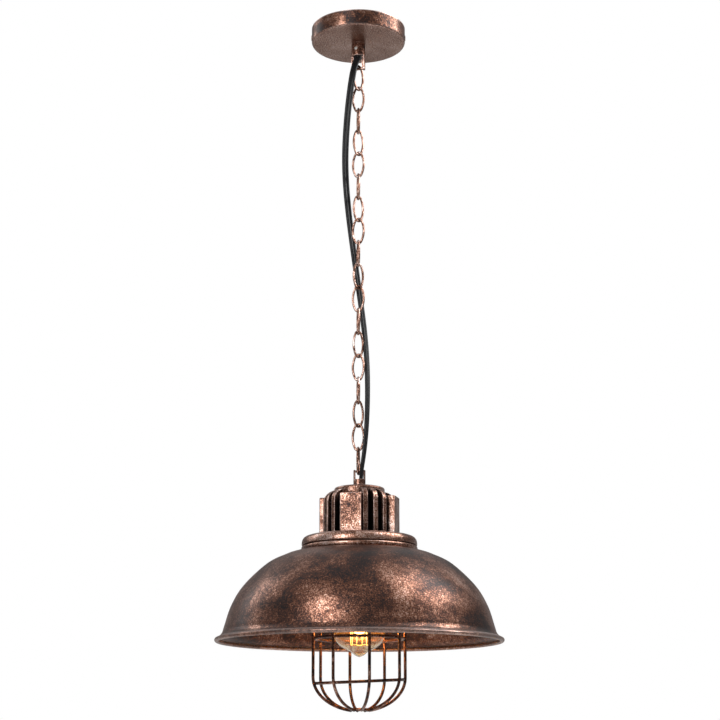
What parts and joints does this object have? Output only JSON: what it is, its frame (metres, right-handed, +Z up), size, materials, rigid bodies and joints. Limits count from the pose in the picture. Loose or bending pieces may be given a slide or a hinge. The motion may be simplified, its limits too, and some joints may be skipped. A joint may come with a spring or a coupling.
{
  "type": "pendant ceiling light",
  "caption": "Chain-hung pendant light: round ceiling canopy, oval chain with a flat cord, finned cap, domed metal shade, wire guard and filament bulb.",
  "frame": {"origin": "on the ceiling plane, at the centre of the ceiling bracket", "axes": "+Z up to the ceiling, X along the bracket, the light faces -Y"},
  "size_m": [0.36, 0.3599, 0.9038],
  "materials": {
    "copper_patina": "aged copper over near-black patina, mottled, fine hammered grain",
    "cast_patina": "casting with the same aged copper finish, brighter on its edges",
    "wire_patina": "aged copper on round wire, darker at the joints",
    "zinc_steel": "zinc plated",
    "brass": "plain brass",
    "black_plastic": "moulded",
    "pale_plastic": "moulded",
    "lead_sheath": "single-core insulation",
    "cord_sheath": "glossy black twin cord",
    "bulb_glass": "clear, lightly amber",
    "bulb_glass_black": "black insulating glass",
    "solder": "soldered contact",
    "filament": "glowing thread"
  },
  "bodies": {
    "ceiling": {"ceiling_bracket": "zinc_steel", "canopy": "copper_patina", "canopy_side_screws": "brass", "hanger_loop": "copper_patina", "hanger_set_screw": "zinc_steel", "hanger_nipple": "zinc_steel", "hanger_lock_washer": "zinc_steel", "hanger_nut": "zinc_steel", "cord_grip_bush": "black_plastic", "terminal_block": "pale_plastic", "terminal_block_screws": "brass", "earth_screw": "brass", "canopy_leads": "lead_sheath"},
    "upper_links": {"link_01": "wire_patina", "link_02": "wire_patina", "cord_top": "cord_sheath"},
    "chain": {"link_03": "wire_patina", "link_04": "wire_patina", "link_05": "wire_patina", "link_06": "wire_patina", "link_07": "wire_patina", "link_08": "wire_patina", "link_09": "wire_patina", "link_10": "wire_patina", "link_11": "wire_patina", "link_12": "wire_patina", "link_13": "wire_patina", "link_14": "wire_patina", "link_15": "wire_patina", "link_16": "wire_patina", "cord_upper": "cord_sheath", "cord_lower": "cord_sheath"},
    "lower_links": {"link_17": "wire_patina", "link_18": "wire_patina", "cord_bottom": "cord_sheath"},
    "lamp": {"lamp_eye": "copper_patina", "lamp_nipple": "zinc_steel", "lamp_nut": "zinc_steel", "lamp_leads": "lead_sheath", "fin_cap": "cast_patina", "neck_ring": "copper_patina", "cap_screws": "zinc_steel", "shade": "copper_patina", "guard_legs": "wire_patina", "guard_hoops": "wire_patina", "guard_tabs": "wire_patina", "guard_screws": "zinc_steel", "lampholder_body": "black_plastic", "lampholder_terminal_screws": "brass", "lampholder_shell": "brass", "lampholder_contact": "brass"},
    "bulb_centre": {"bulb_insulator": "bulb_glass_black", "bulb_contact": "solder"},
    "bulb": {"bulb_glass": "bulb_glass", "bulb_cap": "brass", "bulb_stem": "bulb_glass", "bulb_filament": "filament"}
  },
  "joints": [
    {"name": "chain_swing_front", "type": "hinge", "parent": "ceiling", "child": "upper_links", "pos_m": [0, 0, -0.056], "axis": [0.9397, -0.342, 0], "range_deg": [-20, 20]},
    {"name": "chain_swing_side", "type": "hinge", "parent": "upper_links", "child": "chain", "pos_m": [0, 0, -0.1134], "axis": [0.1392, -0.9903, 0], "range_deg": [-13, 13]},
    {"name": "lamp_swing_front", "type": "hinge", "parent": "chain", "child": "lower_links", "pos_m": [0, 0, -0.5418], "axis": [0.9272, -0.3746, 0], "range_deg": [-13, 13]},
    {"name": "lamp_swing_side", "type": "hinge", "parent": "lower_links", "child": "lamp", "pos_m": [0, 0, -0.6063], "axis": [0.1392, 0.9903, 0], "range_deg": [-13, 13]},
    {"name": "bulb_travel", "type": "slide", "parent": "lamp", "child": "bulb_centre", "axis": [0, 0, -1], "range_m": [0, 0.024]},
    {"name": "bulb_turn", "type": "hinge", "parent": "bulb_centre", "child": "bulb", "pos_m": [0.0015, 0, -0.71], "axis": [0, 0, -1], "range_deg": [0, 2340]}
  ],
  "couplings": [
    {"joint": "bulb_travel", "follows": "bulb_turn", "m_per_rad": 0.00057773}
  ]
}
